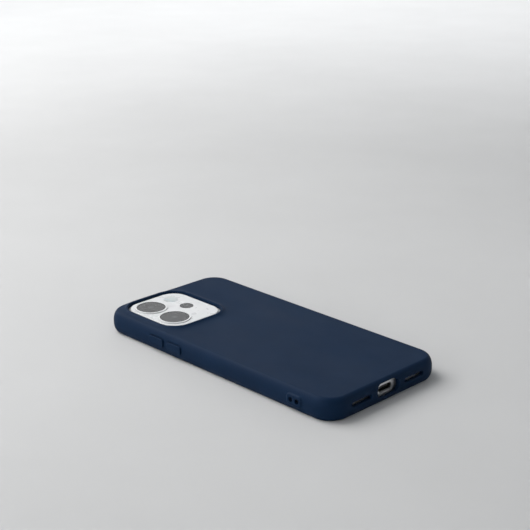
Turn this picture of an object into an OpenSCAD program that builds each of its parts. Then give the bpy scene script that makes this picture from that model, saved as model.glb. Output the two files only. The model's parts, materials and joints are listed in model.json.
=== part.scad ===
// Smartphone with two rear cameras, lying screen down in a soft protective case.
// +Z is up, away from the screen. +Y points to the camera end, -Y to the charging port.
// +X is to the right when the back is seen with the cameras at the top.
// The origin is under the middle of the case, on the surface that its lip rests on.

/* [Phone] */
// Length of the bare phone
phone_l = 146.1; // [145.5:0.1:147]
// Width of the bare phone
phone_w = 69; // [68.8:0.1:70]
// Thickness from the screen glass to the back glass
phone_t = 7.6; // [7.6:0.1:7.9]
// Corner radius of the phone, seen from behind
phone_r = 8.3; // [8:0.1:9]
// Thickness of the frame's side walls
frame_wall = 2.2; // [2:0.1:2.3]
// Thickness of the front and back glass
glass_t = 0.7; // [0.6:0.05:0.7]

/* [Case] */
// Thickness of the case's side walls
case_wall = 2; // [1.9:0.1:2.3]
// Clearance between the phone and the case's walls
case_gap = 0.2; // [0.15:0.05:0.3]
// Thickness of the case's back, without its lining
case_back = 1.1; // [1:0.1:1.6]
// Thickness of the fabric lining
lining_t = 0.2; // [0.15:0.05:0.25]
// How far the lip stands past the screen
case_lip = 1.4; // [1.2:0.1:1.6]
// Radius of the edge between the sides and the back
back_edge_r = 2.3; // [1.8:0.1:2.5]
// Radius of the edge between the sides and the lip
lip_edge_r = 3.8; // [3.4:0.1:4]
// Height of the raised lip round the camera opening
camera_lip_h = 0.9; // [0.4:0.1:1]

/* [Cameras] */
// Width of the camera plate
plate_w = 33.4; // [33:0.1:34]
// Length of the camera plate
plate_l = 37.8; // [37:0.1:38.5]
// Corner radius of the camera plate
plate_r = 8.5; // [8:0.1:10]
// Height of the camera plate over the back glass
plate_rise = 1.55; // [1.4:0.05:1.7]
// Radius of the two large lens windows
lens_r = 7.1; // [6.8:0.1:7.2]
// Distance between the two large lenses
lens_pitch = 17.6; // [17.2:0.1:18]

/* [Keys] */
// Length of the volume keys
volume_key_l = 8.4; // [7.5:0.1:8.6]
// Length of the side key
side_key_l = 15; // [12:0.5:16]
// Height of every key, across the thickness of the phone
key_h = 2.8; // [2.4:0.1:3]
// Travel of a key when it is pressed
key_travel = 0.3; // [0.2:0.05:0.3]
// Length of the case's volume pads
volume_pad_l = 10; // [9.4:0.1:10.4]
// Length of the case's side key pad
side_pad_l = 18; // [17.5:0.5:19]
// Height of the case's pads
pad_h = 4; // [3.6:0.1:4.2]
// How far the case's pads stand out of its side
pad_rise = 0.7; // [0.4:0.1:0.9]

/* [Port and strap] */
// Width of the window in the case round the charging port
window_w = 14; // [13:0.1:15]
// Height of the window round the charging port
window_h = 6.2; // [5.8:0.1:6.2]
// Radius of the two strap holes
strap_r = 1.1; // [0.9:0.05:1.2]
// Distance between the two strap holes
strap_pitch = 3.6; // [3.2:0.1:4]

/* [Battery] */
// Width of the battery
battery_w = 38.5; // [36:0.5:38.5]
// Length of the battery
battery_l = 76; // [70:0.5:76]
// Thickness of the battery
battery_t = 3.3; // [3:0.1:3.3]

/* [Hidden] */
$fn = 64;
eps = 0.01;
cut = 1;

// Levels, from the surface that the lip rests on
z_screen = case_lip;
z_glass_in = z_screen + glass_t;
z_back = z_screen + phone_t;
z_back_in = z_back - glass_t;
z_mid = (z_screen + z_back) / 2;
z_case_in = z_back + lining_t + 0.1;
case_t = z_case_in + case_back;
z_lip_top = case_t + camera_lip_h;
z_plate = z_back + plate_rise;
z_lens = z_plate + 0.3;
z_ring = z_plate + 0.4;

// The frame: its ring, the plate across its middle and the space behind that
frame_lo = z_screen + 0.15;
frame_hi = z_back - 0.15;
glass_inset = 1.15;
seal_inset = 2.9;
band_y = 58;
band_w = 1.2;
band_depth = 0.6;
front_camera_y = 66.3;
front_lens_r = 2;
seat_lo = z_glass_in + 0.15;
seat_hi = z_back_in - 0.1;
floor_lo = z_glass_in + 1;
floor_hi = floor_lo + 0.5;

// Outside of the case
case_w = phone_w + 2 * (case_gap + case_wall);
case_l = phone_l + 2 * (case_gap + case_wall);
case_r = phone_r + case_gap + case_wall;
lip_edge_z = lip_edge_r - 0.75;
side_x = phone_w / 2;
end_y = phone_l / 2;
wall_in_x = side_x + case_gap;
wall_out_x = case_w / 2;
wall_in_y = end_y + case_gap;
wall_out_y = case_l / 2;

// Camera plate and what sits in it
plate_margin = 5.05;
plate_x = -side_x + plate_margin + plate_w / 2;
plate_y = end_y - 3.35 - plate_l / 2;
lens_x = plate_x - plate_w / 2 + 9.65;
lens_y = plate_y + plate_l / 2 - 9.7;
lens2_y = lens_y - lens_pitch;
minor_x = plate_x + plate_w / 2 - 9.35;
sensor_y = plate_y + plate_l / 2 - 19.6;
flash_y = plate_y + plate_l / 2 - 7.6;
sensor_r = 3.3;
flash_r = 3.5;
ring_w = 0.8;
opening_gap = 1.1;
lip_width = 1.6;
lip_root = 0.5;
lining_set_back = 0.6;
carrier_r = 4.3;
bore_gap = 0.07;

// Keys: [side (-1 left, 1 right), y, key length, pad length]
volume_up = [-1, 36.2, volume_key_l, volume_pad_l];
volume_down = [-1, 23.5, volume_key_l, volume_pad_l - 0.4];
side_key_at = [1, 25, side_key_l, side_pad_l];
KEYS = [volume_up, volume_down, side_key_at];
key_rise = 0.45;
key_gap = 0.06;
key_r = 1.2;
pad_gap = 0.12;
pad_r = 1.3;
pad_key_gap = 0.1;
key_relief = 0.15;
key_margin = 0.4;
key_overlap = 0.1;
flange_t = 0.3;
flange_rim = 0.5;

// Charging port and sound openings
port_z = z_mid + 0.3;
window_z = z_mid + 0.45;
port_open_w = 8.34;
port_open_h = 2.56;
port_shell_t = 0.3;
port_depth = 7.2;
slot_lo = 11;
slot_hi = 23.5;
slot_h = 1.9;
slot_z = z_mid + 0.3;
grille_r = 0.65;
grille_pitch = 2.4;
grille_n = 5;
grille_x = 17.2;
screw_x = 8.3;

// Strap holes, on the left side near the charging port
strap_y = -53.8;
strap_z = z_mid - 0.2;
strap_pad_l = 8.2;
strap_pad_h = 5;
strap_pad_rise = 0.4;
strap_pad_root = 0.5;
strap_pad_r = 1.5;
strap_channel = 0.9;
strap_channel_r = 0.6;

// Board and its chips
board_lo = floor_hi + 0.6;
board_hi = board_lo + 0.7;
board_right = 30.9;
can_hi = board_hi + 2;
can_t = 0.2;
solder = 0.02;
chip_x = 20.5;
SCREW_POSTS = [[8, 58], [29.2, 62.3], [8, 34], [29.2, 14], [12.2, -32.3]];

// Wireless charging
coil_y = -4;
coil_hi = z_back_in - 0.15;
coil_lo = coil_hi - 0.4;
sheet_lo = coil_lo - 0.25;

// Battery
battery_x0 = -31;
battery_y0 = -49;
battery_lo = floor_hi + 0.2;

// Loudspeaker, earpiece and haptic motor: [x0, x1, y0, y1]
speaker = [8.5, 31, -70, -50];
haptic = [-31, -9, -62.5, -53.5];
earpiece = [5, 21, 64.5, 70.3];
speaker_hi = z_back_in - 0.3;
haptic_hi = floor_hi + 3.7;
earpiece_hi = floor_hi + 2.6;
shell_t = 0.8;
cone_t = 0.25;

// ---- Shared shapes ----

// Rounded rectangle centred on the origin
module rounded(w, l, r) {
    square([w - 2 * r, l], center = true);
    square([w, l - 2 * r], center = true);
    for (sx = [-1, 1], sy = [-1, 1])
        translate([sx * (w / 2 - r), sy * (l / 2 - r)])
            circle(r);
}

// Rounded plate between two levels
module slab(w, l, r, z0, z1) {
    translate([0, 0, z0])
        linear_extrude(z1 - z0)
            rounded(w, l, r);
}

// The phone's outline, drawn in by some distance, between two levels
module phone_slab(inset, z0, z1) {
    slab(phone_w - 2 * inset, phone_l - 2 * inset, phone_r - inset, z0, z1);
}

// Flat ring that follows the phone's outline
module phone_ring(outer_inset, inner_inset, z0, z1) {
    difference() {
        phone_slab(outer_inset, z0, z1);
        phone_slab(inner_inset, z0 - cut, z1 + cut);
    }
}

// Box given by its limits
module block(x0, x1, y0, y1, z0, z1) {
    translate([x0, y0, z0])
        cube([x1 - x0, y1 - y0, z1 - z0]);
}

// Box over the area a = [x0, x1, y0, y1], drawn in by some distance, with round corners
module area_slab(a, inset, r, z0, z1) {
    translate([(a[0] + a[1]) / 2, (a[2] + a[3]) / 2, 0])
        slab(a[1] - a[0] - 2 * inset, a[3] - a[2] - 2 * inset, r, z0, z1);
}

// Round disc or rod, standing
module disc(x, y, r, z0, z1) {
    translate([x, y, z0])
        cylinder(r = r, h = z1 - z0);
}

// Round rod along Y
module rod_y(x, z, r, y0, y1) {
    translate([x, y1, z])
        rotate([90, 0, 0])
            cylinder(r = r, h = y1 - y0);
}

// Round rod along X
module rod_x(y, z, r, x0, x1) {
    translate([x0, y, z])
        rotate([0, 90, 0])
            cylinder(r = r, h = x1 - x0);
}

// Bar along X with a rounded section, l long in Y and h high in Z
module bar_x(y, z, l, h, r, x0, x1) {
    translate([x0, y, z])
        rotate([90, 0, 90])
            linear_extrude(x1 - x0)
                rounded(l, h, r);
}

// Bar along Y with a rounded section, w wide in X and h high in Z
module bar_y(x, z, w, h, r, y0, y1) {
    translate([x, y1, z])
        rotate([90, 0, 0])
            linear_extrude(y1 - y0)
                rounded(w, h, r);
}

// Bar on the left (side -1) or right (side 1), between two distances from the middle plane
module side_bar(side, y, l, h, r, x0, x1) {
    bar_x(y, z_mid, l, h, r, side < 0 ? -x1 : x0, side < 0 ? -x0 : x1);
}

// The camera plate's outline, grown by some distance, between two levels
module plate_slab(grow, z0, z1) {
    translate([plate_x, plate_y, 0])
        slab(plate_w + 2 * grow, plate_l + 2 * grow, plate_r + grow, z0, z1);
}

// ---- Case ----

// Section of the case's rim, from the inside out, before it is hollowed
module rim_section(reach) {
    intersection() {
        union() {
            translate([reach - lip_edge_r, lip_edge_z])
                circle(lip_edge_r);
            translate([reach - back_edge_r, case_t - back_edge_r])
                circle(back_edge_r);
            translate([0, lip_edge_z])
                square([reach, case_t - back_edge_r - lip_edge_z]);
            translate([0, lip_edge_z])
                square([reach - back_edge_r, case_t - lip_edge_z]);
            square([reach - lip_edge_r, case_t]);
        }
        square([reach, case_t]);
    }
}

// Solid outside of the case: a core, four sides and four turned corners
module case_body() {
    core_w = case_w - 2 * case_r;
    core_l = case_l - 2 * case_r;
    slab_corner = [[1, 1, 0], [-1, 1, 90], [-1, -1, 180], [1, -1, 270]];
    translate([-core_w / 2, -core_l / 2, 0])
        cube([core_w, core_l, case_t]);
    for (turn = [0, 180])
        rotate([0, 0, turn])
            translate([core_w / 2, core_l / 2, 0])
                rotate([90, 0, 0])
                    linear_extrude(core_l)
                        rim_section(case_r);
    for (turn = [90, 270])
        rotate([0, 0, turn])
            translate([core_l / 2, core_w / 2, 0])
                rotate([90, 0, 0])
                    linear_extrude(core_w)
                        rim_section(case_r);
    for (c = slab_corner)
        translate([c[0] * core_w / 2, c[1] * core_l / 2, 0])
            rotate([0, 0, c[2]])
                rotate_extrude(angle = 90)
                    rim_section(case_r);
}

// Two strap holes, joined behind the wall by a channel
module strap_way() {
    for (s = [-1, 1])
        rod_x(strap_y + s * strap_pitch / 2, strap_z, strap_r, -wall_out_x - cut, -wall_in_x);
    bar_x(strap_y, strap_z, strap_pitch + 2 * strap_r + 0.4, 2 * strap_r + 0.4,
        strap_channel_r, -wall_in_x - strap_channel, -wall_in_x + cut);
}

// Room that a key and its pad need in the case's wall, open towards the lip
module key_room(k) {
    x_deep = side_x + key_rise + key_relief;
    side_bar(k[0], k[1], k[3] + 2 * pad_gap, pad_h + 2 * pad_gap, pad_r + pad_gap,
        wall_in_x - cut, wall_out_x + cut);
    x0 = k[0] < 0 ? -x_deep : wall_in_x - key_overlap;
    x1 = k[0] < 0 ? -wall_in_x + key_overlap : x_deep;
    block(x0, x1, k[1] - k[2] / 2 - key_margin, k[1] + k[2] / 2 + key_margin, -cut,
        z_mid + key_h / 2 + key_margin);
}

module case_shell() {
    color("#1f2d44")
        difference() {
            union() {
                case_body();
                plate_slab(opening_gap + lip_width, case_t - lip_root, z_lip_top);
                bar_x(strap_y, strap_z, strap_pad_l, strap_pad_h, strap_pad_r,
                    -wall_out_x - strap_pad_rise, -wall_out_x + strap_pad_root);
            }
            slab(2 * wall_in_x, 2 * wall_in_y, phone_r + case_gap, -cut, z_case_in);
            plate_slab(opening_gap, z_case_in - cut, z_lip_top + cut);
            bar_y(0, window_z, window_w, window_h, window_h / 2 - eps,
                -wall_out_y - cut, -wall_in_y + cut);
            for (s = [-1, 1])
                bar_y(s * (slot_lo + slot_hi) / 2, slot_z, slot_hi - slot_lo, slot_h,
                    slot_h / 2 - eps, -wall_out_y - cut, -wall_in_y + cut);
            strap_way();
            for (k = KEYS)
                key_room(k);
        }
}

module case_lining() {
    color("#26364f")
        difference() {
            slab(2 * wall_in_x - 0.4, 2 * wall_in_y - 0.4, phone_r, z_back + 0.05,
                z_back + 0.05 + lining_t);
            plate_slab(opening_gap + lining_set_back, z_back - cut, z_case_in + cut);
        }
}

// Pad over one key, loose in the case's wall
module case_pad(k) {
    color("#1f2d44")
        side_bar(k[0], k[1], k[3], pad_h, pad_r, side_x + key_rise + pad_key_gap,
            wall_out_x + pad_rise);
}

module case_volume_up_pad() { case_pad(volume_up); }
module case_volume_down_pad() { case_pad(volume_down); }
module case_side_key_pad() { case_pad(side_key_at); }

// ---- Frame and glass ----

// Slices of the frame's outer skin, where the antennas need a gap
module band_slices(grow) {
    intersection() {
        phone_ring(-grow, band_depth + grow, frame_lo - grow, frame_hi + grow);
        for (sx = [-1, 1], sy = [-1, 1])
            translate([sx * side_x, sy * band_y, z_mid])
                cube([4, band_w + 2 * grow, 20], center = true);
    }
}

// Two rows of small sound holes through a wall, one on each side of the port
module grille_holes(y0, y1) {
    for (s = [-1, 1], i = [0 : grille_n - 1])
        rod_y(s * grille_x + (i - (grille_n - 1) / 2) * grille_pitch, slot_z, grille_r, y0, y1);
}

module mid_frame() {
    color("#c9ccd0")
        difference() {
            union() {
                difference() {
                    phone_slab(0, frame_lo, frame_hi);
                    phone_slab(glass_inset - 0.1, frame_lo - cut, seat_lo);
                    phone_slab(seal_inset, frame_lo, floor_lo);
                    phone_slab(frame_wall, floor_hi, frame_hi);
                    phone_slab(glass_inset - 0.1, seat_hi, frame_hi + cut);
                }
                for (p = SCREW_POSTS)
                    disc(p[0], p[1], 1.4, floor_hi - 0.1, board_lo - 0.05);
            }
            for (p = SCREW_POSTS)
                disc(p[0], p[1], 0.65, floor_lo + 0.1, board_lo + cut);
            // key openings
            for (k = KEYS)
                side_bar(k[0], k[1], k[2] + 2 * key_gap, key_h + 2 * key_gap, key_r + key_gap,
                    side_x - frame_wall - cut, side_x + cut);
            // charging port, bottom screws and sound holes
            bar_y(0, port_z, port_open_w + 2 * port_shell_t + 0.1,
                port_open_h + 2 * port_shell_t + 0.1, port_open_h / 2 + port_shell_t,
                -end_y - cut, -end_y + frame_wall + cut);
            for (s = [-1, 1]) {
                rod_y(s * screw_x, z_mid, 0.85, -end_y - cut, -end_y + 0.8);
                rod_y(s * screw_x, z_mid, 0.55, -end_y, -end_y + frame_wall + cut);
            }
            grille_holes(-end_y - cut, -end_y + frame_wall + cut);
            // earpiece slot, front camera and display cable
            block(-6, 6, end_y - 1.0, end_y - 0.55, frame_lo - cut, frame_lo + 0.5);
            disc(0, front_camera_y, front_lens_r + 0.1, floor_lo - cut, floor_hi + cut);
            block(11.7, 20.3, -40.4, -39.3, floor_lo - cut, floor_hi + cut);
            band_slices(eps / 2);
        }
}

module antenna_bands() {
    color("#dfe1e3")
        band_slices(0);
}

module back_glass() {
    color("#f2f3f4")
        difference() {
            phone_slab(glass_inset, z_back_in, z_back);
            plate_slab(-2, z_back_in - cut, z_back + cut);
        }
}

module back_glass_seal() {
    color("#2a2a2c")
        phone_ring(glass_inset + 0.1, frame_wall - 0.1, seat_hi, z_back_in);
}

module cover_glass() {
    color("#0c0d10")
        phone_slab(glass_inset, z_screen, z_glass_in);
}

module display_seal() {
    color("#2a2a2c")
        phone_ring(glass_inset + 0.15, seal_inset - 0.2, z_glass_in, seat_lo);
}

module display_panel() {
    color("#16181c")
        difference() {
            phone_slab(seal_inset + 0.2, z_glass_in, floor_lo - 0.1);
            disc(0, front_camera_y, front_lens_r + 0.3, z_glass_in - cut, floor_lo);
        }
}

module display_flex() {
    color("#7a5a26") {
        block(12, 20, -40, -39.75, floor_lo - 0.1, floor_hi + 0.4);
        block(12, 20, -40, -34.6, floor_hi + 0.4 - eps, floor_hi + 0.55);
    }
}

// ---- Rear cameras ----

module camera_plate() {
    color("#f4f5f6")
        difference() {
            plate_slab(0, z_back, z_plate);
            for (y = [lens_y, lens2_y])
                disc(lens_x, y, lens_r + ring_w + 0.05, z_back - cut, z_plate + cut);
            disc(minor_x, sensor_y, sensor_r + 0.05, z_plate - 0.65, z_plate + cut);
            disc(minor_x, sensor_y, sensor_r - 0.7, z_back - cut, z_plate);
            disc(minor_x, flash_y, flash_r + 0.05, z_plate - 0.65, z_plate + cut);
            disc(minor_x, flash_y, flash_r - 0.6, z_back - cut, z_plate);
        }
}

module lens_ring(y) {
    color("#e9eaec")
        difference() {
            disc(lens_x, y, lens_r + ring_w, z_back + 0.05, z_ring);
            disc(lens_x, y, lens_r + 0.05, z_lens - 0.7, z_ring + cut);
            disc(lens_x, y, lens_r - 0.8, z_back - cut, z_ring);
        }
}

module wide_lens_ring() { lens_ring(lens_y); }
module ultrawide_lens_ring() { lens_ring(lens2_y); }

module lens_window(y) {
    color("#5b5e62")
        disc(lens_x, y, lens_r, z_lens - 0.7, z_lens);
}

module wide_lens_window() { lens_window(lens_y); }
module ultrawide_lens_window() { lens_window(lens2_y); }

module depth_sensor_window() {
    color("#5b5e62")
        disc(minor_x, sensor_y, sensor_r, z_plate - 0.65, z_plate + 0.03);
}

module flash_diffuser() {
    color("#eceade")
        disc(minor_x, flash_y, flash_r, z_plate - 0.65, z_plate + 0.05);
}

module camera_bracket() {
    color("#9a9da1")
        difference() {
            plate_slab(-2.2, z_back_in + 0.05, z_back_in + 0.25);
            for (y = [lens_y, lens2_y])
                disc(lens_x, y, 5.2, z_back_in - cut, z_back);
            disc(minor_x, sensor_y, 2.5, z_back_in - cut, z_back);
            disc(minor_x, flash_y, 2.6, z_back_in - cut, z_back);
        }
}

module wide_camera_housing() {
    color("#34363a")
        difference() {
            translate([lens_x, lens_y, 0])
                slab(13.4, 13.4, 1, floor_hi + 0.05, z_back_in - 0.05);
            disc(lens_x, lens_y, carrier_r + bore_gap, floor_hi + 0.9, z_back);
        }
}

module wide_focus_carrier() {
    color("#101113")
        difference() {
            disc(lens_x, lens_y, carrier_r, floor_hi + 1.3, z_back + 0.5);
            disc(lens_x, lens_y, 2.9, z_back - 0.1, z_back + cut);
        }
}

module ultrawide_camera_housing() {
    color("#34363a")
        difference() {
            translate([lens_x, lens2_y, 0])
                slab(11.6, 11.6, 1, floor_hi + 0.05, z_back_in - 0.05);
            disc(lens_x, lens2_y, 3.9, floor_hi + 2, z_back);
        }
}

module ultrawide_lens_barrel() {
    color("#101113")
        difference() {
            disc(lens_x, lens2_y, 3.85, floor_hi + 2.05, z_back + 0.6);
            disc(lens_x, lens2_y, 2.4, z_back, z_back + cut);
        }
}

module depth_sensor() {
    color("#34363a") {
        translate([minor_x, sensor_y, 0])
            slab(6, 6, 0.6, floor_hi + 1, z_back_in - 0.05);
        disc(minor_x, sensor_y, 2.3, z_back_in - 0.1, z_plate - 0.75);
    }
}

module flash_module() {
    color("#d8d27a") {
        translate([minor_x, flash_y, 0])
            slab(6.2, 6.2, 0.6, z_back_in - 1.1, z_back_in - 0.05);
        disc(minor_x, flash_y, 2.4, z_back_in - 0.1, z_plate - 0.75);
    }
}

// ---- Front camera and earpiece ----

module front_camera() {
    color("#26282b") {
        translate([0, front_camera_y, 0])
            slab(6, 6, 0.6, floor_hi + 0.05, floor_hi + 2.4);
        disc(0, front_camera_y, front_lens_r, z_glass_in + 0.05, floor_hi + 0.1);
    }
}

// Closed box with a cavity, over an area
module sound_box(a, r, hi) {
    difference() {
        area_slab(a, 0, r, floor_hi + 0.1, hi);
        area_slab(a, shell_t, r - shell_t, floor_hi + 0.1 + shell_t, hi - shell_t);
    }
}

module earpiece_housing() {
    color("#2c2d30")
        difference() {
            sound_box(earpiece, 1.2, earpiece_hi);
            block(9, 17, earpiece[3] - cut, earpiece[3] + cut, floor_hi + 1, floor_hi + 1.6);
        }
}

module earpiece_diaphragm() {
    color("#8b6f3e")
        area_slab(earpiece, 1.1, 0.5, floor_hi + 1.3, floor_hi + 1.3 + 0.15);
}

// ---- Power ----

module battery() {
    color("#1b1c1e")
        translate([battery_x0 + battery_w / 2, battery_y0 + battery_l / 2, 0])
            slab(battery_w, battery_l, 1.5, battery_lo, battery_lo + battery_t);
}

module battery_adhesive() {
    color("#e8e8e4")
        for (i = [0 : 2])
            block(battery_x0 + 3 + i * 12, battery_x0 + 12 + i * 12, battery_y0 + 4,
                battery_y0 + battery_l - 4, floor_hi + 0.02, battery_lo - 0.02);
}

module battery_flex() {
    color("#7a5a26") {
        block(battery_x0 + battery_w + 0.02, 11.3, -6, 0, board_hi + 0.75, board_hi + 0.9);
        block(8.6, 11.3, -6, 0, board_hi + 0.05, board_hi + 0.75 + eps);
    }
}

module charging_coil() {
    color("#b3682c")
        difference() {
            disc(0, coil_y, 21, coil_lo, coil_hi);
            disc(0, coil_y, 9, coil_lo - cut, coil_hi + cut);
        }
}

module magnet_ring() {
    color("#8d9094")
        difference() {
            disc(0, coil_y, 27, sheet_lo, coil_hi);
            disc(0, coil_y, 22.5, sheet_lo - cut, coil_hi + cut);
        }
}

module ferrite_sheet() {
    color("#3b3b3d")
        disc(0, coil_y, 22, sheet_lo, coil_lo - 0.05);
}

// ---- Board ----

module main_board() {
    color("#1f4a36")
        difference() {
            union() {
                block(10.5, board_right, -34, 64, board_lo, board_hi);
                block(4.5, board_right, 30, 61.5, board_lo, board_hi);
                block(8.4, 11, -7, 1, board_lo, board_hi);
            }
            for (p = SCREW_POSTS)
                disc(p[0], p[1], 0.75, board_lo - cut, board_hi + cut);
        }
}

module board_screws() {
    color("#b9bcc0")
        for (p = SCREW_POSTS) {
            disc(p[0], p[1], 0.6, floor_lo + 0.15, board_hi + 0.1);
            disc(p[0], p[1], 1.1, board_hi + solder, board_hi + 0.45);
        }
}

module chip(x, y, w, l, h) {
    translate([x, y, 0])
        slab(w, l, 0.3, board_hi + solder, board_hi + solder + h);
}

module processor() { color("#2e2f33") chip(chip_x, 45, 13, 13, 1.2); }
module memory_chip() { color("#26272a") chip(chip_x, 28, 12, 9, 1); }

module power_and_radio_chips() {
    color("#303236") {
        chip(chip_x, 4, 8, 8, 0.8);
        chip(chip_x, -10, 10, 7, 0.9);
        chip(chip_x, -22, 7, 7, 0.8);
    }
}

// Sheet metal can, open towards the board
module shield_can(y0, y1) {
    color("#b4b7bb")
        difference() {
            area_slab([12, 27.5, y0, y1], 0, 1, board_hi + solder, can_hi);
            area_slab([12, 27.5, y0, y1], can_t, 0.8, board_hi - cut, can_hi - can_t);
        }
}

module upper_shield_can() { shield_can(20, 60); }
module lower_shield_can() { shield_can(-29, 11); }

module board_connectors() {
    color("#3a3128")
        for (y = [38.5, 44.5, 50.5])
            block(5.2, 10.4, y, y + 2.6, board_hi + solder, board_hi + 0.9);
}

// ---- Loudspeaker, haptic motor, port ----

module speaker_box() {
    color("#232427")
        difference() {
            sound_box(speaker, 4.8, speaker_hi);
            block(12, 22.4, speaker[2] - cut, speaker[2] + cut, slot_z - 0.7, slot_z + 0.7);
        }
}

module speaker_diaphragm() {
    color("#a57f3f")
        area_slab([11.5, 28, -66.5, -53.5], 0, 2, floor_hi + 2, floor_hi + 2 + cone_t);
}

module haptic_housing() {
    color("#a9acb0")
        sound_box(haptic, 1, haptic_hi);
}

// Two closed leaf springs, one past each end of the mass
module haptic_springs() {
    color("#8b8e92")
        for (s = [-1, 1])
            translate([(haptic[0] + haptic[1]) / 2 + s * 9.1, (haptic[2] + haptic[3]) / 2, 0])
                difference() {
                    slab(2, 6.8, 0.9, floor_hi + 1.1, haptic_hi - 1);
                    slab(1.6, 6.4, 0.7, floor_hi + 1.1 - cut, haptic_hi);
                }
}

module haptic_mass() {
    color("#6d7074")
        area_slab([haptic[0] + 4, haptic[1] - 4, haptic[2] + 1.1, haptic[3] - 1.1], 0, 0.6,
            floor_hi + 1, haptic_hi - 0.9);
}

module usb_shell() {
    w = port_open_w;
    h = port_open_h;
    t = port_shell_t;
    color("#55585c")
        difference() {
            bar_y(0, port_z, w + 2 * t, h + 2 * t, h / 2 + t - eps, -end_y + 0.3,
                -end_y + port_depth);
            bar_y(0, port_z, w, h, h / 2 - eps, -end_y, -end_y + port_depth - 0.4);
        }
}

module usb_tongue() {
    color("#1a1b1d")
        bar_y(0, port_z, 6.6, 0.7, 0.3, -end_y + 1.2, -end_y + port_depth - 0.42);
}

module dock_flex() {
    color("#7a5a26") {
        block(-4, 8.2, -end_y + port_depth + 0.3, -49.6, floor_hi + 0.05, floor_hi + 0.18);
        block(7.8, 10.6, -49.8, -33, floor_hi + 0.05, floor_hi + 0.18);
    }
}

module bottom_microphones() {
    color("#b9a46a")
        for (x = [-20.8, -13.6])
            block(x - 1.6, x + 1.6, -70.6, -68.2, slot_z - 1.1, slot_z + 1.1);
}

module bottom_screws() {
    color("#b9bcc0")
        for (s = [-1, 1]) {
            rod_y(s * screw_x, z_mid, 0.8, -end_y + 0.1, -end_y + 0.75);
            rod_y(s * screw_x, z_mid, 0.5, -end_y + 0.7, -end_y + 3);
        }
}

module acoustic_meshes() {
    color("#6a6d70") {
        for (s = [-1, 1])
            block(s * grille_x - 6, s * grille_x + 6, -end_y + frame_wall + 0.03,
                -end_y + frame_wall + 0.18, slot_z - 1, slot_z + 1);
        block(-5.95, 5.95, end_y - 0.98, end_y - 0.57, frame_lo + 0.15, frame_lo + 0.4);
    }
}

// ---- Keys ----

// One key: a cap through the frame's wall and a flange that keeps it in
module key(k) {
    color("#c9ccd0") {
        side_bar(k[0], k[1], k[2], key_h, key_r, side_x - frame_wall - 0.1, side_x + key_rise);
        side_bar(k[0], k[1], k[2] + 2 * flange_rim, key_h + 0.3, key_r,
            side_x - frame_wall - 0.05 - flange_t, side_x - frame_wall - 0.05);
    }
}

module volume_up_key() { key(volume_up); }
module volume_down_key() { key(volume_down); }
module side_key() { key(side_key_at); }

// Flexible circuit with the key switches, just past the travel of the keys
module key_flexes() {
    x1 = side_x - frame_wall - 0.05 - flange_t - key_travel - 0.03;
    color("#7a5a26") {
        bar_x(30, z_mid, 25, 2.4, 0.5, -x1, -x1 + 0.25);
        bar_x(25, z_mid, 16, 2.4, 0.5, x1 - 0.25, x1);
    }
}

case_shell();
case_lining();
case_volume_up_pad();
case_volume_down_pad();
case_side_key_pad();
mid_frame();
antenna_bands();
back_glass();
back_glass_seal();
camera_plate();
wide_lens_ring();
ultrawide_lens_ring();
wide_lens_window();
ultrawide_lens_window();
depth_sensor_window();
flash_diffuser();
camera_bracket();
wide_camera_housing();
wide_focus_carrier();
ultrawide_camera_housing();
ultrawide_lens_barrel();
depth_sensor();
flash_module();
cover_glass();
display_panel();
display_seal();
display_flex();
front_camera();
earpiece_housing();
earpiece_diaphragm();
battery();
battery_adhesive();
battery_flex();
main_board();
processor();
memory_chip();
power_and_radio_chips();
upper_shield_can();
lower_shield_can();
board_connectors();
board_screws();
speaker_box();
speaker_diaphragm();
haptic_housing();
haptic_springs();
haptic_mass();
usb_shell();
usb_tongue();
dock_flex();
bottom_microphones();
bottom_screws();
acoustic_meshes();
charging_coil();
magnet_ring();
ferrite_sheet();
volume_up_key();
volume_down_key();
side_key();
key_flexes();
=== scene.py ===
"""Looks for a smartphone in a soft case: materials for every CAD node, and moulded skins
for the parts whose edges and blends the eye follows. The floor and the lights are placed in
metres; the pieces are worked out in millimetres and scaled by MM when their mesh is made.
+Z is up, +Y is the camera end, and the phone lies screen down."""
import json
import math

import bmesh
import bpy
import numpy as np
from mathutils import Matrix, Vector


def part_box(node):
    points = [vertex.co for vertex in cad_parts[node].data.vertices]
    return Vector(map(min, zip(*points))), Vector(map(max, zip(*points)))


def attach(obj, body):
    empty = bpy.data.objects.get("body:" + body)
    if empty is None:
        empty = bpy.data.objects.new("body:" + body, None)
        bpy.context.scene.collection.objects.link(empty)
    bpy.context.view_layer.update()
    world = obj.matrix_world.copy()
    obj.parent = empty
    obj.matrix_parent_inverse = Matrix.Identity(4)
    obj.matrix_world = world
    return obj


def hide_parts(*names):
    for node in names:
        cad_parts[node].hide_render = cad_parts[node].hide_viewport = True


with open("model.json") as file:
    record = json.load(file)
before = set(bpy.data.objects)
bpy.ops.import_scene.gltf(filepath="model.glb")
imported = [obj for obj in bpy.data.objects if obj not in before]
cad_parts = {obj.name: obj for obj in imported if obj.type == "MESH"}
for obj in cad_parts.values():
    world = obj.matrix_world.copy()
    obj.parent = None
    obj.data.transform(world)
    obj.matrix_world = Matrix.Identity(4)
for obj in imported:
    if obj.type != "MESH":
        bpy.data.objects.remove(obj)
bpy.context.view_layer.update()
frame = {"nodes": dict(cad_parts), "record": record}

MM = 0.001
NODES = frame["nodes"]


# ---------------------------------------------------------------- camera, floor and light

CAMERA_AT_MM = (-389.24, -392.78, 241.08)
CAMERA_AZIMUTH, CAMERA_PITCH, CAMERA_ROLL = -44.70, 19.70, -0.07
LENS_MM = 86.58
KEY_WATTS = 9.8
WALL_WATTS = (19, 12.7, 48.5, 2, 2, 8.1)
SKY_COLOUR, SKY_STRENGTH = (0.9, 0.95, 1, 1), 0.28
KEY_AT, KEY_SIZE = (-0.22, 0.60, 0.76), (0.80, 0.80)


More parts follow.
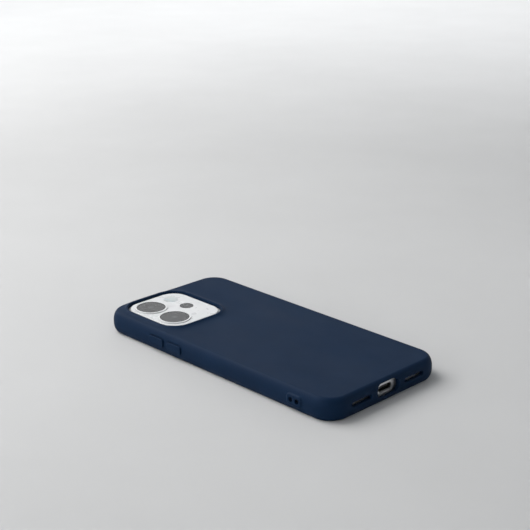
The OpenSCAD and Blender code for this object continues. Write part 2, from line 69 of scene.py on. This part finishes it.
def make_camera():
    """The camera looks down at the phone from its left, charging port side."""
    data = bpy.data.cameras.new("camera")
    data.lens = LENS_MM
    data.sensor_width = 36
    data.clip_start = 0.01
    camera = bpy.data.objects.new("camera", data)
    bpy.context.scene.collection.objects.link(camera)
    a, e, roll = (math.radians(d) for d in (CAMERA_AZIMUTH, CAMERA_PITCH, CAMERA_ROLL))
    back = Vector((math.sin(a) * math.cos(e), -math.cos(a) * math.cos(e), math.sin(e)))
    right = Vector((math.cos(a), math.sin(a), 0))
    up = back.cross(right)
    turned_right = right * math.cos(roll) + up * math.sin(roll)
    turned_up = up * math.cos(roll) - right * math.sin(roll)
    axes = Matrix((turned_right, turned_up, back)).transposed()
    camera.matrix_world = Matrix.Translation(Vector(CAMERA_AT_MM) * MM) @ axes.to_4x4()
    bpy.context.scene.camera = camera


def link(name, mesh):
    piece = bpy.data.objects.new(name, mesh)
    bpy.context.scene.collection.objects.link(piece)
    return piece


def make_floor(material):
    """A round pale floor that sweeps up into a low wall all round."""
    flat, sweep, wall, sides = 1.6, 0.5, 0.9, 96
    outline = [(0.0, 0.0), (flat, 0.0)]
    for i in range(1, 13):
        t = math.radians(90 * i / 12)
        outline.append((flat + sweep * math.sin(t), sweep * (1 - math.cos(t))))
    outline.append((flat + sweep, sweep + wall))
    points, faces = [(0.0, 0.0, 0.0)], []
    for r, z in outline[1:]:
        for k in range(sides):
            t = 2 * math.pi * k / sides
            points.append((r * math.cos(t), r * math.sin(t), z))
    for k in range(sides):
        faces.append((0, 1 + k, 1 + (k + 1) % sides))
    for ring in range(len(outline) - 2):
        for k in range(sides):
            a, b = 1 + ring * sides, 1 + (ring + 1) * sides
            n = (k + 1) % sides
            faces.append((a + k, b + k, b + n, a + n))
    mesh = bpy.data.meshes.new("floor")
    mesh.from_pydata(points, [], faces)
    mesh.shade_smooth()
    mesh.materials.append(material)
    link("floor", mesh)


def area_light(name, at, size, watts, colour, aim=(0, 0, 0)):
    data = bpy.data.lights.new(name, "AREA")
    data.shape = "RECTANGLE"
    data.size, data.size_y = size
    data.energy = watts
    data.color = colour
    lamp = bpy.data.objects.new(name, data)
    lamp.location = at
    lamp.rotation_euler = (Vector(aim) - Vector(at)).to_track_quat("-Z", "Y").to_euler()
    bpy.context.scene.collection.objects.link(lamp)


def make_light():
    world = bpy.data.worlds.new("studio")
    world.use_nodes = True
    sky = world.node_tree.nodes["Background"]
    sky.inputs["Color"].default_value = SKY_COLOUR
    sky.inputs["Strength"].default_value = SKY_STRENGTH
    bpy.context.scene.world = world
    bpy.context.scene.view_settings.view_transform = "Standard"
    area_light("key", KEY_AT, KEY_SIZE, KEY_WATTS, (1, 0.995, 0.985))
    for k, watts in enumerate(WALL_WATTS):
        turn = math.radians(45 + 60 * k)
        out = Vector((math.cos(turn), math.sin(turn), 0))
        area_light(f"wall_{k}", out * 0.9 + Vector((0, 0, 1.1)), (0.6, 0.6), watts, (0.98, 0.99, 1),
                   out * 2.1 + Vector((0, 0, 0.5)))


# ---------------------------------------------------------------- shapes from distances
# A moulded piece is a function f(x, y, z) in millimetres: negative inside, positive outside.

def hypot(a, b):
    return np.sqrt(a * a + b * b)


def rounded_rect(x, y, width, height, radius):
    """Distance to the outline of a rounded rectangle centred on the origin."""
    a = np.abs(x) - (width / 2 - radius)
    b = np.abs(y) - (height / 2 - radius)
    outside = hypot(np.maximum(a, 0), np.maximum(b, 0))
    return outside + np.minimum(np.maximum(a, b), 0) - radius


def both(a, b, radius):
    """Where two shapes overlap, with the edge between them rounded."""
    corner = hypot(np.maximum(a + radius, 0), np.maximum(b + radius, 0)) - radius
    return np.where((a > -radius) & (b > -radius), corner, np.maximum(a, b))


def oval_edge(a, b, radius_a, radius_b):
    """Where two shapes overlap, with the edge between them rounded to an ellipse."""
    bulge = hypot(np.maximum(a + radius_a, 0) / radius_a, np.maximum(b + radius_b, 0) / radius_b)
    corner = (bulge - 1) * min(radius_a, radius_b)
    return np.where((a > -radius_a) & (b > -radius_b), corner, np.maximum(a, b))


def cut_out(a, b, radius):
    """Shape a without shape b, with a rounded edge."""
    return both(a, -b, radius)


def joined(a, b, radius):
    """Shapes a and b together, with a filleted inner corner."""
    return -both(-a, -b, radius)


def grid_lines(low, high, coarse, fine):
    """Grid positions from low to high: coarse steps, and finer ones in (start, end, step)."""
    marks = [low]
    while marks[-1] < high:
        x = marks[-1]
        step = coarse
        for start, end, fine_step in fine:
            if start - 1e-9 <= x < end - 1e-9:
                step = min(step, fine_step)
            elif x < start:
                step = min(step, max(start - x, fine_step))
        marks.append(x + step)
    return np.array(marks)


CORNERS = [(i, j, k) for i in (0, 1) for j in (0, 1) for k in (0, 1)]
EDGES = [(a, b) for a in range(8) for b in range(a + 1, 8)
         if sum(p != q for p, q in zip(CORNERS[a], CORNERS[b])) == 1]


def slope(shape, points):
    """Gradient of a shape's distance at some points."""
    step = 0.02
    parts = []
    for axis in range(3):
        shift = np.zeros(3)
        shift[axis] = step
        ahead, behind = points + shift, points - shift
        parts.append((shape(*ahead.T) - shape(*behind.T)) / (2 * step))
    return np.stack(parts, 1)


def skin(name, shape, xs, ys, zs, material):
    """Closed mesh of a shape: one vertex in each grid cell that its surface crosses."""
    lines = (xs, ys, zs)
    value = shape(*np.meshgrid(xs, ys, zs, indexing="ij", sparse=True))
    value = np.broadcast_to(value, [len(line) for line in lines])
    inside = value < 0
    counts = [len(line) - 1 for line in lines]

    def corner(array, c):
        return array[tuple(slice(o, o + n) for o, n in zip(c, counts))]

    held = sum(corner(inside, c).astype(np.int8) for c in CORNERS)
    cells = np.argwhere((held > 0) & (held < 8))
    place = np.stack([line[cells[:, i]] for i, line in enumerate(lines)], 1)
    size = np.stack([np.diff(line)[cells[:, i]] for i, line in enumerate(lines)], 1)
    at_corner = [value[tuple((cells + c).T)] for c in CORNERS]
    total, hits = np.zeros_like(place), np.zeros(len(cells))
    for a, b in EDGES:
        va, vb = at_corner[a], at_corner[b]
        crossed = (va < 0) != (vb < 0)
        share = np.where(crossed, va / np.where(crossed, va - vb, 1), 0)
        spot = np.array(CORNERS[a]) + share[:, None] * (np.array(CORNERS[b]) - CORNERS[a])
        total += np.where(crossed[:, None], spot, 0)
        hits += crossed
    points = place + size * total / hits[:, None]
    for _ in range(4):
        gradient = slope(shape, points)
        length = np.maximum((gradient ** 2).sum(1), 0.05)
        move = -shape(*points.T)[:, None] * gradient / length[:, None]
        points = points + np.clip(move, -0.5 * size, 0.5 * size)
    number = np.full(counts, -1, np.int64)
    number[tuple(cells.T)] = np.arange(len(cells))
    quads = []
    for axis in range(3):
        u, v = (axis + 1) % 3, (axis + 2) % 3
        near = [slice(None)] * 3
        far = [slice(None)] * 3
        near[axis], far[axis] = slice(0, -1), slice(1, None)
        change = inside[tuple(near)].astype(np.int8) - inside[tuple(far)]
        spots = np.argwhere(change != 0)
        spots = spots[(spots[:, u] > 0) & (spots[:, v] > 0)]
        spots = spots[(spots[:, u] < counts[u]) & (spots[:, v] < counts[v])]
        ring = []
        for du, dv in ((-1, -1), (0, -1), (0, 0), (-1, 0)):
            cell = spots.copy()
            cell[:, u] += du
            cell[:, v] += dv
            ring.append(number[tuple(cell.T)])
        ring = np.stack(ring, 1)
        flip = change[tuple(spots.T)] < 0
        ring[flip] = ring[flip][:, ::-1]
        quads.append(ring)
    quads = np.concatenate(quads)
    mesh = bpy.data.meshes.new(name)
    mesh.from_pydata((points * MM).tolist(), [], quads.tolist())
    mesh.shade_smooth()
    mesh.normals_split_custom_set_from_vertices(slope(shape, points).tolist())
    mesh.materials.append(material)
    return link(name, mesh)


# ---------------------------------------------------------------- measures from the frame

def node_box(name):
    low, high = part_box(name)
    return Vector(low) / MM, Vector(high) / MM


def middle(name):
    low, high = node_box(name)
    return (low + high) / 2


def size(name):
    low, high = node_box(name)
    return high - low


CASE_LOW, CASE_HIGH = node_box("case_shell")
CASE_R = 10.5
BACK_EDGE, RIM_EDGE, RIM_CUT = (2.8, 5.0), (3.0, 4.5), 0.5
PAD_CLEAR = 0.12
WALL = 2.0
BACK_FACE = next(m for m in frame["record"]["mounts"] if m["name"] == "back_face")
LIP_RISE = CASE_HIGH.z - BACK_FACE["pos_m"][2] / MM
LIP_CREST, LIP_FADE = 1.0, 1.1
PLATE_R = 8.5
OPENING_GAP = 1.1
STRAP_PAD_RISE = 0.4


# ---------------------------------------------------------------- the case

def case_skin(material):
    """The silicone shell, moulded in one piece, with every edge softened."""
    half_l = (CASE_HIGH.y - CASE_LOW.y) / 2
    half_w = CASE_HIGH.x
    top = CASE_HIGH.z - LIP_RISE
    width, length = 2 * half_w, 2 * half_l
    plate, plate_size = middle("camera_plate"), size("camera_plate")
    phone = size("mid_frame")
    room_top = node_box("case_lining")[1].z + 0.05
    port_z = middle("usb_shell").z + 0.15
    slot = (11.0, 23.5, 1.9, middle("usb_shell").z)
    strap_y, strap_z, strap_r, pitch = -53.8, middle("mid_frame").z - 0.2, 1.1, 3.6
    pads = [(node_box(n), node_box(k)) for n, k in (
        ("case_volume_up_pad", "volume_up_key"), ("case_volume_down_pad", "volume_down_key"),
        ("case_side_key_pad", "side_key"))]

    def shape(x, y, z):
        outline = rounded_rect(x, y, width, length, CASE_R)
        opening = rounded_rect(x - plate.x, y - plate.y, plate_size.x + 2 * OPENING_GAP,
                               plate_size.y + 2 * OPENING_GAP, PLATE_R + OPENING_GAP)
        lip = LIP_RISE * np.exp(-np.maximum(opening - LIP_CREST, 0) / LIP_FADE)
        body = np.maximum(oval_edge(outline, z - top - lip, *BACK_EDGE),
                          oval_edge(outline, -z - RIM_CUT, *RIM_EDGE))
        strap_pad = rounded_rect(y - strap_y, z - strap_z, 8.2, 5.0, 1.7)
        strap_pad = both(strap_pad, np.abs(x + half_w) - STRAP_PAD_RISE, 0.35)
        body = joined(body, strap_pad, 0.6)
        body = both(body, -z, 0.25)
        room = rounded_rect(x, y, phone.x + 0.4, phone.y + 0.4, CASE_R - WALL)
        body = cut_out(body, np.maximum(room, z - room_top), 0.3)
        tilted = opening - 0.08 * (z - top + 0.35)
        body = cut_out(body, tilted, 0.3)
        port = rounded_rect(x, z - port_z, 14.0, 6.2, 3.09)
        port = np.maximum(port, y + half_l - WALL - 1)
        body = cut_out(body, port, 0.45)
        for side in (-1, 1):
            sound = rounded_rect(x - side * (slot[0] + slot[1]) / 2, z - slot[3],
                                 slot[1] - slot[0], slot[2], slot[2] / 2)
            body = cut_out(body, np.maximum(sound, y + half_l - WALL - 1), 0.35)
        for at in (-pitch / 2, pitch / 2):
            hole = hypot(y - strap_y - at, z - strap_z) - strap_r
            body = cut_out(body, np.maximum(hole, x + half_w - WALL - 1), 0.25)
        channel = rounded_rect(y - strap_y, z - strap_z, pitch + 2.6, 2.6, 0.8)
        channel = np.maximum(channel, x + half_w - WALL - 0.5)
        body = np.maximum(body, -np.maximum(channel, -half_w + 1.1 - x))
        for (low, high), (key_low, key_high) in pads:
            side = 1 if low.x > 0 else -1
            at, span = (low + high) / 2, high - low
            gate = rounded_rect(y - at.y, z - at.z, span.y + 2 * PAD_CLEAR,
                                span.z + 2 * PAD_CLEAR, 1.42)
            gate = np.maximum(gate, half_w - 3 - side * x)
            body = cut_out(body, gate, 0.15)
            relief = np.maximum(np.abs(y - at.y) - (key_high.y - key_low.y) / 2 - 0.1,
                                z - key_high.z - 0.35)
            relief = np.maximum(relief, np.abs(side * x - half_w + 4) - 2.45)
            body = np.maximum(body, -relief)
        return body

    fine = 0.3
    x_fine = [(-half_w - 0.6, -half_w + 3.9, fine), (half_w - 3.9, half_w + 0.6, fine),
              (-half_w + 3.9, -26, 0.7), (26, half_w - 3.9, 0.7),
              (-32.5, -28.2, 0.35), (3.2, 8.5, 0.35), (-9, 9, 0.45), (-8, -3, fine), (3, 8, fine)]
    x_fine += [(s * e - 1.3, s * e + 1.3, fine)
               for s in (-1, 1) for e in (slot[0] + 0.5, slot[1] - 0.5)]
    y_fine = [(-half_l - 0.3, -half_l + 3.9, fine), (half_l - 3.9, half_l + 0.3, fine),
              (-half_l + 3.9, -64, 0.7), (64, half_l - 3.9, 0.7), (28.2, 32.5, 0.35),
              (69, 73.5, 0.35), (strap_y - 4.7, strap_y + 4.7, 0.3)]
    for (low, high), _ in pads:
        y_fine += [(low.y - 0.9, low.y + 1.8, fine), (high.y - 1.8, high.y + 0.9, fine)]
    xs = grid_lines(-half_w - 0.7, half_w + 0.7, 2.5, x_fine)
    ys = grid_lines(-half_l - 0.4, half_l + 0.4, 2.5, y_fine)
    zs = grid_lines(-0.3, CASE_HIGH.z + 0.4, fine, [])
    return skin("case_moulding", shape, xs, ys, zs, material)


def case_pad_skin(name, node, material):
    """A pad over one key, with softened edges."""
    low, high = node_box(node)
    at, span = (low + high) / 2, high - low
    side = 1 if low.x > 0 else -1
    outer = max(abs(low.x), abs(high.x))

    def shape(x, y, z):
        outline = rounded_rect(y - at.y, z - at.z, span.y, span.z, 1.3)
        flat = np.maximum(side * x - outer, outer - span.x - side * x)
        return both(outline, flat, 0.4)

    xs = np.arange(low.x - 0.25, high.x + 0.4, 0.16)
    ys = grid_lines(low.y - 0.3, high.y + 0.3, 0.6,
                    [(low.y - 0.3, low.y + 1.7, 0.2), (high.y - 1.7, high.y + 0.3, 0.2)])
    zs = np.arange(low.z - 0.3, high.z + 0.4, 0.2)
    return skin(name, shape, xs, ys, zs, material)


def plate_skin(material):
    """The camera plate, ground from one piece of glass, with its holes and a rounded rim."""
    low, high = node_box("camera_plate")
    at, span = (low + high) / 2, high - low
    holes = [(middle(n), size(n).x / 2 + 0.05) for n in (
        "wide_lens_ring", "ultrawide_lens_ring", "depth_sensor_window", "flash_diffuser")]

    def shape(x, y, z):
        outline = rounded_rect(x - at.x, y - at.y, span.x, span.y, PLATE_R)
        body = both(outline, z - high.z, 0.5)
        body = both(body, low.z - z, 0.1)
        for place, radius in holes:
            body = cut_out(body, hypot(x - place.x, y - place.y) - radius, 0.12)
        return body

    xs = np.arange(low.x - 0.3, high.x + 0.5, 0.25)
    ys = np.arange(low.y - 0.3, high.y + 0.5, 0.25)
    zs = np.arange(low.z - 0.25, high.z + 0.4, 0.2)
    return skin("camera_plate_glass", shape, xs, ys, zs, material)


# ---------------------------------------------------------------- softened copies of CAD nodes

def softened(name, node, width_mm, material, segments=3, sharp=35):
    """A copy of a CAD node with its sharp outer edges rounded."""
    source = NODES[node]
    mesh = source.data.copy()
    mesh.name = name
    body = bmesh.new()
    body.from_mesh(mesh)
    bmesh.ops.remove_doubles(body, verts=body.verts, dist=1e-7)
    bmesh.ops.dissolve_limit(body, angle_limit=math.radians(0.5), use_dissolve_boundaries=False,
                             verts=body.verts, edges=body.edges, delimit=set())
    edges = [e for e in body.edges if len(e.link_faces) == 2
             and e.calc_face_angle_signed(0) > math.radians(sharp)]
    bmesh.ops.bevel(body, geom=edges, offset=width_mm * MM, segments=segments, profile=0.5,
                    affect="EDGES", clamp_overlap=True, loop_slide=True)
    body.to_mesh(mesh)
    body.free()
    mesh.materials.clear()
    mesh.materials.append(material)
    mesh.shade_smooth()
    piece = link(name, mesh)
    smooth = piece.modifiers.new("normals", "WEIGHTED_NORMAL")
    smooth.keep_sharp = True
    return piece


# ---------------------------------------------------------------- materials

class Nodes:
    """Short ways to add and join shader nodes."""

    def __init__(self, name):
        self.material = bpy.data.materials.new(name)
        self.material.use_nodes = True
        self.tree = self.material.node_tree
        self.shader = self.tree.nodes["Principled BSDF"]
        self.place = self.tree.nodes.new("ShaderNodeTexCoord").outputs["Object"]

    def add(self, kind, links=(), **values):
        node = self.tree.nodes.new("ShaderNode" + kind)
        for key, value in values.items():
            if hasattr(node, key):
                setattr(node, key, value)
            else:
                node.inputs[key].default_value = value
        for key, source in links:
            self.tree.links.new(source, node.inputs[key])
        return node

    def stretched(self, scale):
        """Object coordinates, scaled by (x, y, z)."""
        return self.add("Mapping", [("Vector", self.place)], Scale=scale).outputs["Vector"]

    def noise(self, size_mm, detail=3, at=None, roughness=0.5):
        return self.add("TexNoise", [("Vector", at or self.place)], Scale=1 / (size_mm * MM),
                        Detail=detail, Roughness=roughness).outputs["Fac"]

    def ramp(self, factor, low, high, start=0.3, end=0.7):
        """Value that goes from low to high as the factor goes from start to end."""
        node = self.tree.nodes.new("ShaderNodeMapRange")
        for key, value in (("From Min", start), ("From Max", end), ("To Min", low), ("To Max", high)):
            node.inputs[key].default_value = value
        self.tree.links.new(factor, node.inputs["Value"])
        return node.outputs["Result"]

    def blend(self, factor, low, high):
        """Colour between two colours or colour sockets."""
        node = self.tree.nodes.new("ShaderNodeMix")
        node.data_type = "RGBA"
        self.tree.links.new(factor, node.inputs["Factor"])
        for index, value in ((6, low), (7, high)):
            if isinstance(value, tuple):
                node.inputs[index].default_value = (*value, 1)
            else:
                self.tree.links.new(value, node.inputs[index])
        return node.outputs[2]

    def math(self, operation, a, b=0.0):
        node = self.tree.nodes.new("ShaderNodeMath")
        node.operation = operation
        for index, value in ((0, a), (1, b)):
            if isinstance(value, (int, float)):
                node.inputs[index].default_value = value
            else:
                self.tree.links.new(value, node.inputs[index])
        return node.outputs[0]

    def use(self, **sockets):
        """Set or link the main shader's sockets."""
        for key, value in sockets.items():
            socket = self.shader.inputs[key.replace("_", " ")]
            if isinstance(value, bpy.types.NodeSocket):
                self.tree.links.new(value, socket)
            else:
                socket.default_value = (*value, 1) if isinstance(value, tuple) and len(value) == 3 else value

    def bump(self, height, depth_um, strength=1.0, below=None):
        """Raise the surface by a height from 0 to 1, depth_um deep."""
        node = self.add("Bump", [("Height", height)], Strength=strength, Distance=depth_um * 1e-6)
        if below:
            self.tree.links.new(below, node.inputs["Normal"])
        self.tree.links.new(node.outputs["Normal"], self.shader.inputs["Normal"])
        return node.outputs["Normal"]


def silicone():
    """Deep blue soft-touch silicone: a fine matt grain, faint blotches and finger marks."""
    n = Nodes("case_silicone")
    blotch = n.noise(14, 4)
    base = n.blend(n.ramp(blotch, 0, 1), (0.0026, 0.0145, 0.0410), (0.0032, 0.0166, 0.0460))
    dust = n.ramp(n.noise(0.35, 2, roughness=0.7), 0, 0.4, 0.72, 0.80)
    n.use(Base_Color=n.blend(dust, base, (0.012, 0.022, 0.045)))
    marks = n.ramp(n.noise(28, 3, n.stretched((1, 0.5, 1))), 0.56, 0.66)
    n.use(Roughness=marks, Specular_IOR_Level=0.09)
    n.bump(n.noise(0.12, 2), 6)
    return n.material


def plain(name, low, high, size_mm, rough, grain_mm=0.2, depth_um=4, metallic=0.0, **more):
    """Colour and gloss drift between two values, over a fine grain."""
    n = Nodes(name)
    drift = n.noise(size_mm, 3)
    n.use(Base_Color=n.blend(n.ramp(drift, 0, 1), low, high), Metallic=metallic,
          Roughness=n.ramp(n.noise(size_mm / 3, 2), *rough), **more)
    n.bump(n.noise(grain_mm, 2), depth_um)
    return n.material


def brushed(name, low, high, rough, along=(1, 0.05, 1), depth_um=1.5):
    """Metal sheet with fine lines in one direction."""
    n = Nodes(name)
    lines = n.noise(0.25, 3, n.stretched(along))
    n.use(Base_Color=n.blend(n.ramp(lines, 0, 1), low, high), Metallic=1.0,
          Roughness=n.ramp(lines, *rough))
    n.bump(lines, depth_um)
    return n.material


def smoked_window():
    """Dark coated glass over a lens, painted lighter at each lens centre as a painted highlight, with a dark
    rim.
    """
    n = Nodes("lens_window")
    speck = n.ramp(n.noise(0.8, 2), 0, 1, 0.35, 0.75)
    glass = n.blend(speck, (0.046, 0.047, 0.049), (0.054, 0.055, 0.057))
    split = n.add("SeparateXYZ", [("Vector", n.place)])
    for lens in ("wide_lens_window", "ultrawide_lens_window", "depth_sensor_window"):
        at, reach = middle(lens) * MM, size(lens).x / 2 * MM
        across = n.math("SUBTRACT", split.outputs["X"], at.x)
        along = n.math("SUBTRACT", split.outputs["Y"], at.y)
        away = n.math("SQRT", n.math("ADD", n.math("MULTIPLY", across, across),
                                     n.math("MULTIPLY", along, along)))
        share = n.math("DIVIDE", away, reach)
        # Painted highlight: the glass colour is lighter towards each lens centre, standing in for a
        # reflection off the lens element below.
        glass = n.blend(n.ramp(share, 1, 0, 0.05, 0.28), glass, (0.080, 0.082, 0.088))
        rim = n.math("MULTIPLY", n.ramp(share, 0, 1, 0.86, 0.97), n.ramp(share, 1, 0, 1.02, 1.1))
        glass = n.blend(rim, glass, (0.020, 0.021, 0.022))
    n.use(Base_Color=glass,
          Roughness=n.ramp(n.noise(3), 0.16, 0.24), Specular_IOR_Level=0.25,
          Coat_Weight=0.1, Coat_Roughness=0.1)
    n.bump(n.noise(2.5, 2), 0.6)
    return n.material


def woven(name, low, high, pitch_mm, depth_um, metallic, rough):
    """Crossed threads."""
    n = Nodes(name)
    k = 2 * math.pi / (pitch_mm * MM)
    waves = []
    split = n.add("SeparateXYZ", [("Vector", n.place)])
    for axis in ("X", "Y", "Z"):
        waves.append(n.math("SINE", n.math("MULTIPLY", split.outputs[axis], k)))
    cross = n.math("MULTIPLY", n.math("MULTIPLY", waves[0], waves[1]), 1.0)
    cross = n.math("ADD", cross, n.math("MULTIPLY", waves[0], waves[2]))
    weave = n.ramp(cross, 0, 1, -1, 1)
    n.use(Base_Color=n.blend(weave, low, high), Metallic=metallic, Roughness=n.ramp(n.noise(4), *rough))
    n.bump(weave, depth_um)
    return n.material


def circuit_board():
    """Green solder mask with copper runs under it."""
    n = Nodes("circuit_board")
    cells = n.add("TexVoronoi", [("Vector", n.place)], Scale=450.0, distance="MANHATTAN",
                  feature="F2").outputs["Distance"]
    runs = n.ramp(n.math("PINGPONG", n.math("MULTIPLY", cells, 6), 0.5), 0, 1, 0.2, 0.26)
    mask = n.blend(runs, (0.010, 0.050, 0.028), (0.022, 0.105, 0.055))
    n.use(Base_Color=mask, Roughness=n.ramp(n.noise(3), 0.28, 0.42))
    n.bump(runs, 12)
    return n.material


def wound_wire(name, low, high, pitch_mm, at):
    """Flat spiral of enamelled wire."""
    n = Nodes(name)
    shift = n.add("VectorMath", [(0, n.place)], operation="SUBTRACT")
    shift.inputs[1].default_value = tuple(v * MM for v in at)
    split = n.add("SeparateXYZ", [("Vector", shift.outputs["Vector"])])
    flat = n.add("CombineXYZ", [("X", split.outputs["X"]), ("Y", split.outputs["Y"])])
    radius = n.add("VectorMath", [(0, flat.outputs["Vector"])], operation="LENGTH").outputs["Value"]
    turns = n.ramp(n.math("SINE", n.math("MULTIPLY", radius, 2 * math.pi / (pitch_mm * MM))), 0, 1, -1, 1)
    n.use(Base_Color=n.blend(turns, low, high), Metallic=0.85, Roughness=n.ramp(n.noise(5), 0.22, 0.34))
    n.bump(turns, 60)
    return n.material


def make_materials():
    """One material for each of the record's slots, and one for the floor."""
    mats = {
        "case_silicone": silicone(),
        "case_lining": plain("case_lining", (0.016, 0.024, 0.046), (0.030, 0.042, 0.074), 2.5,
                             (0.85, 0.98), 0.25, 60, Sheen_Weight=0.6),
        "frame_metal": plain("frame_metal", (0.62, 0.63, 0.64), (0.70, 0.71, 0.72), 9,
                             (0.34, 0.44), 0.06, 3, 1.0),
        "antenna_plastic": plain("antenna_plastic", (0.66, 0.67, 0.67), (0.74, 0.75, 0.75), 3,
                                 (0.4, 0.5)),
        "back_glass": plain("back_glass", (0.80, 0.81, 0.82), (0.84, 0.85, 0.86), 30, (0.05, 0.09),
                            6, 0.4, Coat_Weight=0.6, Coat_Roughness=0.04),
        "black_adhesive": plain("black_adhesive", (0.012, 0.012, 0.013), (0.022, 0.022, 0.024), 2,
                                (0.6, 0.8)),
        "plate_glass": plain("plate_glass", (0.62, 0.63, 0.64), (0.66, 0.665, 0.67), 12, (0.26, 0.34),
                             0.15, 1.2, Coat_Weight=0.25, Coat_Roughness=0.12),
        "ring_metal": plain("ring_metal", (0.68, 0.685, 0.69), (0.74, 0.745, 0.75), 2, (0.22, 0.3),
                            0.1, 1.0),
        "lens_window": smoked_window(),
        "flash_plastic": plain("flash_plastic", (0.56, 0.56, 0.54), (0.62, 0.62, 0.59), 1.2, (0.3, 0.4),
                               0.3, 10, Subsurface_Weight=0.2),
        "steel_sheet": brushed("steel_sheet", (0.52, 0.53, 0.54), (0.62, 0.63, 0.64), (0.28, 0.42)),
        "module_black": plain("module_black", (0.022, 0.023, 0.024), (0.036, 0.037, 0.039), 3,
                              (0.42, 0.58), 0.1, 5),
        "lens_black": plain("lens_black", (0.008, 0.008, 0.009), (0.014, 0.014, 0.016), 2,
                            (0.5, 0.65), 0.1, 4),
        "flash_phosphor": plain("flash_phosphor", (0.62, 0.52, 0.12), (0.74, 0.64, 0.18), 0.6,
                                (0.6, 0.75), 0.1, 8),
        "screen_glass": plain("screen_glass", (0.004, 0.004, 0.005), (0.006, 0.006, 0.007), 25,
                              (0.03, 0.07),
                              8, 0.3, Coat_Weight=0.5, Coat_Roughness=0.03),
        "display": plain("display", (0.008, 0.009, 0.011), (0.012, 0.013, 0.015), 20, (0.12, 0.2),
                         0.2, 1),
        "flex_circuit": brushed("flex_circuit", (0.30, 0.16, 0.045), (0.42, 0.24, 0.07),
                                (0.3, 0.45), (2, 0.1, 2), 8),
        "speaker_plastic": plain("speaker_plastic", (0.018, 0.018, 0.020), (0.030, 0.030, 0.032),
                                 4, (0.45, 0.6), 0.1, 7),
        "diaphragm": plain("diaphragm", (0.36, 0.26, 0.11), (0.48, 0.36, 0.17), 4, (0.25, 0.4), 0.4, 6),
        "battery_wrap": plain("battery_wrap", (0.012, 0.012, 0.014), (0.022, 0.022, 0.024), 18,
                              (0.35, 0.5), 3, 25),
        "white_tape": plain("white_tape", (0.68, 0.68, 0.66), (0.78, 0.78, 0.76), 5, (0.6, 0.75),
                            0.4, 12),
        "circuit_board": circuit_board(),
        "chip": plain("chip", (0.024, 0.024, 0.026), (0.038, 0.038, 0.041), 3, (0.5, 0.62), 0.08, 5),
        "shield_tin": brushed("shield_tin", (0.56, 0.57, 0.58), (0.66, 0.67, 0.68), (0.3, 0.4),
                              (0.06, 1, 1)),
        "connector": plain("connector", (0.014, 0.014, 0.015), (0.024, 0.024, 0.026), 1,
                           (0.4, 0.5), 0.1, 5),
        "screw_steel": brushed("screw_steel", (0.60, 0.61, 0.62), (0.72, 0.73, 0.74), (0.2, 0.3),
                               (1, 1, 0.1), 1),
        "spring_steel": brushed("spring_steel", (0.50, 0.51, 0.52), (0.60, 0.61, 0.62), (0.2, 0.32)),
        "tungsten": plain("tungsten", (0.26, 0.27, 0.28), (0.36, 0.37, 0.38), 2, (0.4, 0.55),
                          0.12, 10, 1.0),
        "port_steel": brushed("port_steel", (0.20, 0.21, 0.22), (0.30, 0.31, 0.32), (0.3, 0.42),
                              (1, 0.1, 1)),
        "mic_can": brushed("mic_can", (0.56, 0.46, 0.24), (0.68, 0.57, 0.33), (0.25, 0.38)),
        "mesh_steel": woven("mesh_steel", (0.02, 0.02, 0.021), (0.34, 0.34, 0.35), 0.35, 60, 1.0,
                            (0.35, 0.45)),
        "copper": wound_wire("copper", (0.36, 0.14, 0.05), (0.72, 0.34, 0.16), 0.9,
                             middle("charging_coil")),
        "magnet": plain("magnet", (0.44, 0.45, 0.46), (0.56, 0.57, 0.58), 4, (0.24, 0.36), 0.3, 3, 1.0),
        "ferrite": plain("ferrite", (0.028, 0.028, 0.030), (0.044, 0.044, 0.047), 3, (0.5, 0.65),
                         0.2, 10),
        "floor": plain("floor", (0.54, 0.54, 0.54), (0.56, 0.56, 0.56), 120, (0.7, 0.85), 1.5, 20),
    }
    return mats


def dress_nodes(mats):
    """Give every CAD node the material of its slot."""
    for part in frame["record"]["subparts"]:
        NODES[part["node"]].data.materials.clear()
        NODES[part["node"]].data.materials.append(mats[part["material_slot"]])


def add(piece, body, slot, *nodes):
    """Join a new piece to a body, and hide the CAD nodes it stands for."""
    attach(piece, body)
    if nodes:
        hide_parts(*nodes)


def main():
    make_camera()
    mats = make_materials()
    make_floor(mats["floor"])
    make_light()
    dress_nodes(mats)
    add(case_skin(mats["case_silicone"]), "case", "case_silicone", "case_shell")
    for node in ("case_volume_up_pad", "case_volume_down_pad", "case_side_key_pad"):
        pad = case_pad_skin(node + "_moulding", node, mats["case_silicone"])
        add(pad, node, "case_silicone", node)
    add(plate_skin(mats["plate_glass"]), "phone", "plate_glass", "camera_plate")
    cloth = softened("case_lining_cloth", "case_lining", 0.04, mats["case_lining"], 2)
    add(cloth, "case", "case_lining", "case_lining")


main()
